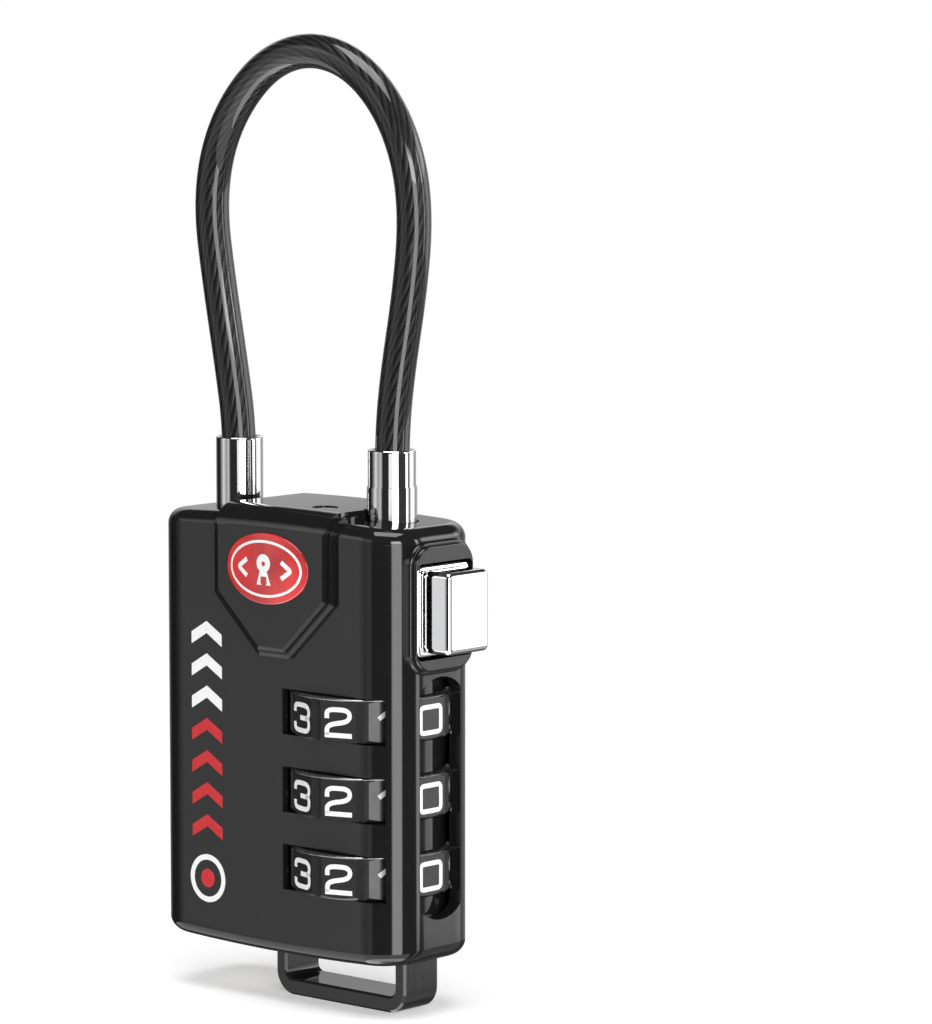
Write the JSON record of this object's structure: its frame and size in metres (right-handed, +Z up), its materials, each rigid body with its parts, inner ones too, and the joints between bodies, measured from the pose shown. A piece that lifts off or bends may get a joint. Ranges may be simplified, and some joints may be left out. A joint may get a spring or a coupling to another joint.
{
  "type": "cable luggage lock",
  "caption": "Combination luggage lock with number dials, a push button, a looped steel cable, a strap loop and a key override.",
  "frame": {"origin": "centre of the lock's footprint, at the foot of the strap loop it stands on", "axes": "+Z up along the lock towards the cable's arch, -Y is the front with the dial windows, +X is the side with the push button"},
  "size_m": [0.0336, 0.0146, 0.0869],
  "materials": {
    "case_black": "gloss black ABS",
    "panel_black": "gloss black",
    "badge_red": "gloss red resin",
    "button_chrome": "polished chrome plate",
    "ferrule_chrome": "polished chrome plate",
    "dial_black": "satin black",
    "steel": "bare steel",
    "zinc": "die-cast zinc alloy",
    "inner_black": "gloss black casting",
    "brass": "plain brass",
    "loop_black": "gloss black paint",
    "cable_black": "smoky vinyl over steel strands"
  },
  "bodies": {
    "housing": {"front_shell": "case_black", "rear_cover": "case_black", "shield_panel": "panel_black", "badge": "badge_red", "button_bezel": "panel_black", "button_spring": "steel", "dial_cage": "inner_black", "spindle": "steel", "detent_springs": "steel", "lock_block": "zinc", "ferrule_left": "ferrule_chrome", "anchor_stub": "ferrule_chrome", "anchor_clip": "steel", "ejector_spring": "steel", "cable": "cable_black", "reset_spring": "steel", "strap_loop": "loop_black", "key_housing": "zinc", "cover_rivets": "steel"},
    "button": {"push_button": "button_chrome", "latch_slide": "steel", "code_fence": "steel"},
    "plug": {"plug_pin": "ferrule_chrome", "ferrule_right": "ferrule_chrome"},
    "dial_top": {"dial_top": "dial_black", "gate_sleeve_top": "brass"},
    "dial_middle": {"dial_middle": "dial_black", "gate_sleeve_middle": "brass"},
    "dial_bottom": {"dial_bottom": "dial_black", "gate_sleeve_bottom": "brass"},
    "key_core": {"key_plug": "brass", "key_wafers": "brass", "key_cam": "steel"},
    "reset": {"reset_pin": "inner_black"}
  },
  "joints": [
    {"name": "button_press", "type": "slide", "parent": "housing", "child": "button", "axis": [-1, 0, 0], "range_m": [0, 0.0018], "stiffness_N_per_m": 900, "springref_m": -0.001, "deforming": ["button_spring"]},
    {"name": "plug_lift", "type": "slide", "parent": "housing", "child": "plug", "axis": [0, 0, 1], "range_m": [0, 0.005], "deforming": ["cable", "ejector_spring"]},
    {"name": "dial_top_turn", "type": "hinge", "parent": "housing", "child": "dial_top", "pos_m": [0.0051, 0.00003, 0.02668], "axis": [0, 0, 1], "continuous": true},
    {"name": "dial_middle_turn", "type": "hinge", "parent": "housing", "child": "dial_middle", "pos_m": [0.0051, 0.00003, 0.01965], "axis": [0, 0, 1], "continuous": true},
    {"name": "dial_bottom_turn", "type": "hinge", "parent": "housing", "child": "dial_bottom", "pos_m": [0.0051, 0.00003, 0.01262], "axis": [0, 0, 1], "continuous": true},
    {"name": "key_turn", "type": "hinge", "parent": "housing", "child": "key_core", "pos_m": [-0.0102, 0.00003, 0.012], "axis": [0, 0, 1], "range_deg": [0, 90]},
    {"name": "reset_press", "type": "slide", "parent": "housing", "child": "reset", "axis": [0, 0, -1], "range_m": [0, 0.001], "stiffness_N_per_m": 400, "springref_m": -0.001, "deforming": ["reset_spring"]}
  ],
  "couplings": [
    {"joint": "plug_lift", "follows": "button_press", "ratio": 2.75}
  ]
}
